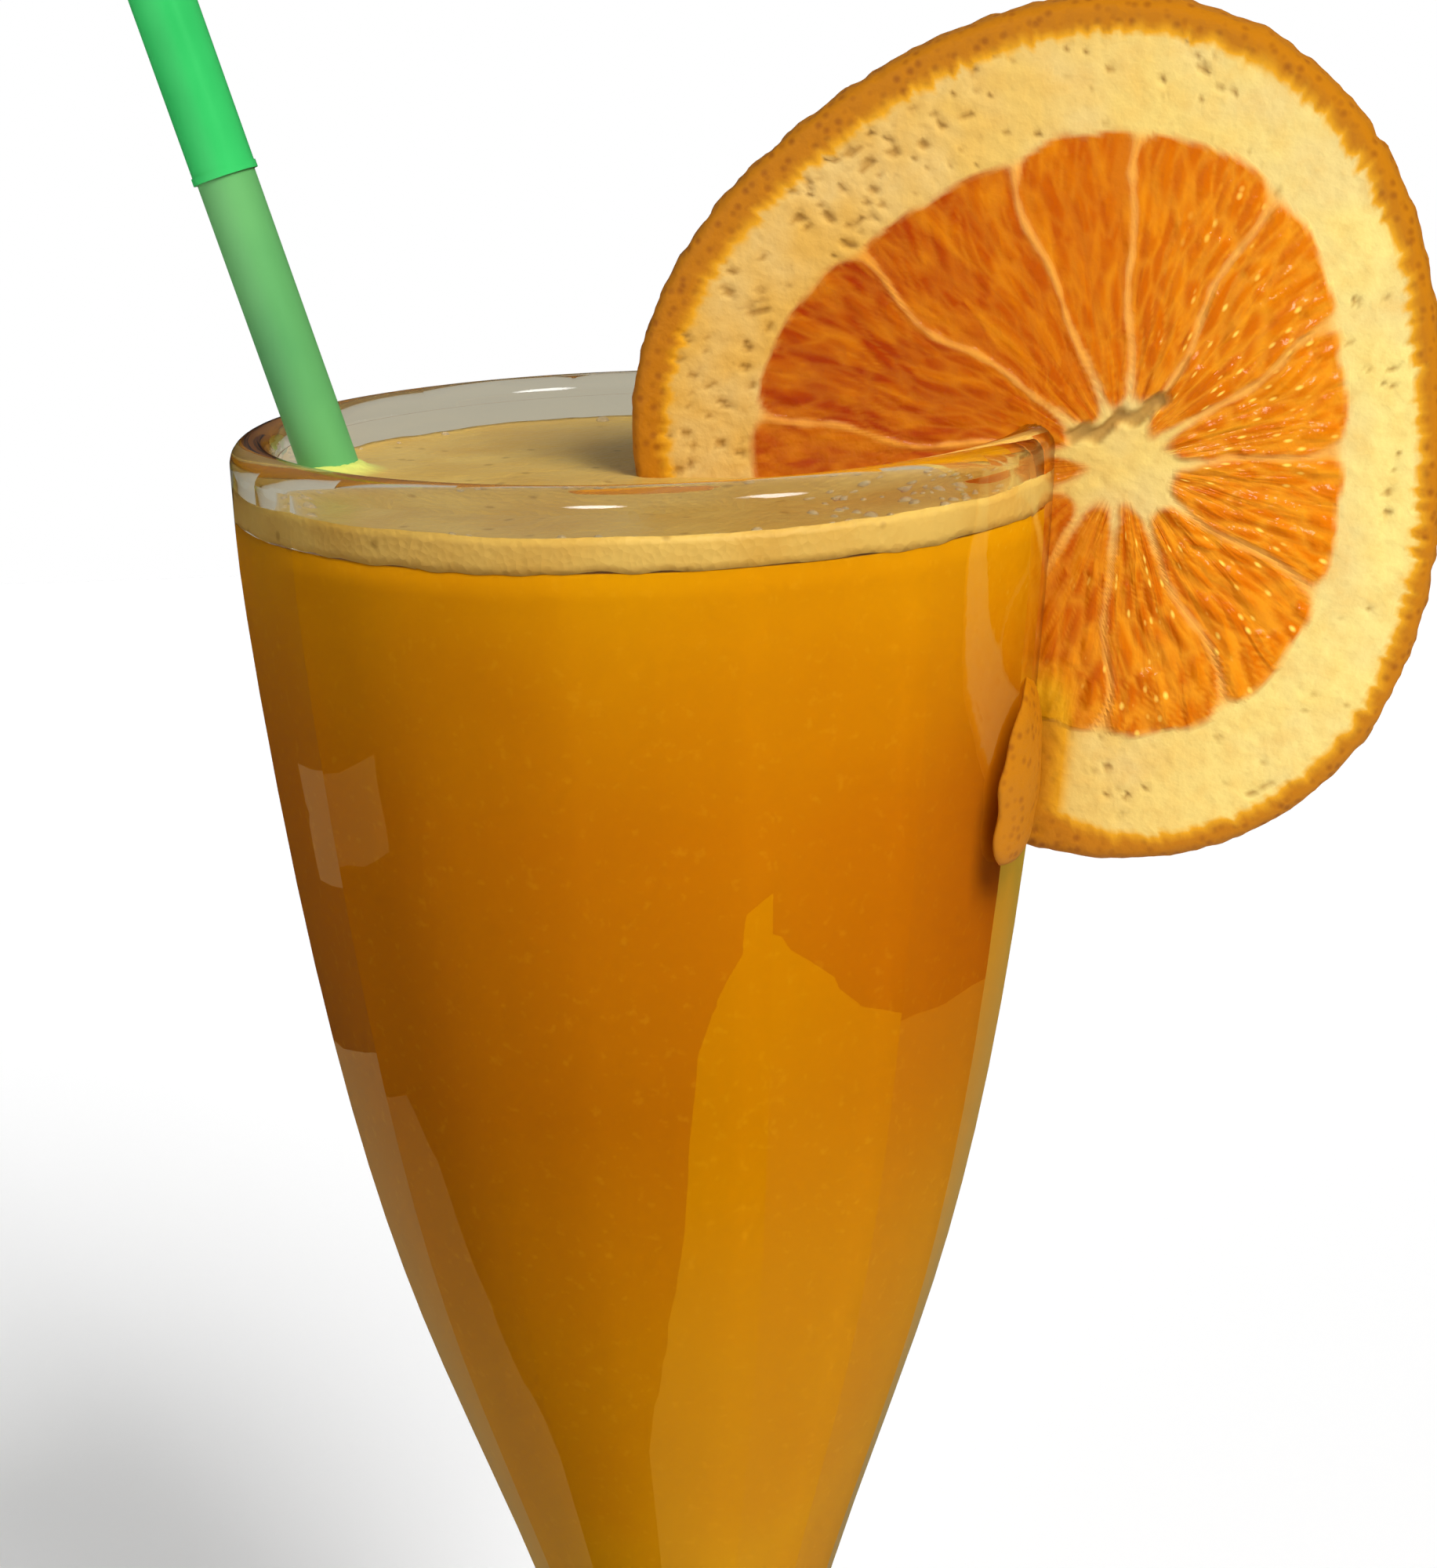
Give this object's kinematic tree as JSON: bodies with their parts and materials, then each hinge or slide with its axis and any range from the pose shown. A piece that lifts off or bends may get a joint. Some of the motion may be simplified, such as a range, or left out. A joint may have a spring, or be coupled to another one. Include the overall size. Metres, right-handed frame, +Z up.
{
  "type": "glass of orange juice",
  "caption": "Tall fluted glass on a round foot, filled with orange juice under a thin froth, with a leaning straw and an orange slice slit onto the rim.",
  "frame": {"origin": "middle of the flat underside of the glass's foot", "axes": "+Z up along the glass's axis; +X towards the orange slice's side; -Y towards the viewer's side"},
  "size_m": [0.1254, 0.0768, 0.2599],
  "materials": {
    "glass": "pressed and fire-polished soda-lime glass",
    "juice": "cloudy liquid",
    "froth": "fine froth",
    "straw_tube": "milky plastic",
    "straw_sleeve": "glossy plastic",
    "orange_flesh": "wet cut fruit"
  },
  "bodies": {
    "root": {"glass": "glass", "juice": "juice", "froth": "froth", "straw_tube": "straw_tube", "straw_sleeve": "straw_sleeve", "orange_slice": "orange_flesh"}
  },
  "joints": []
}
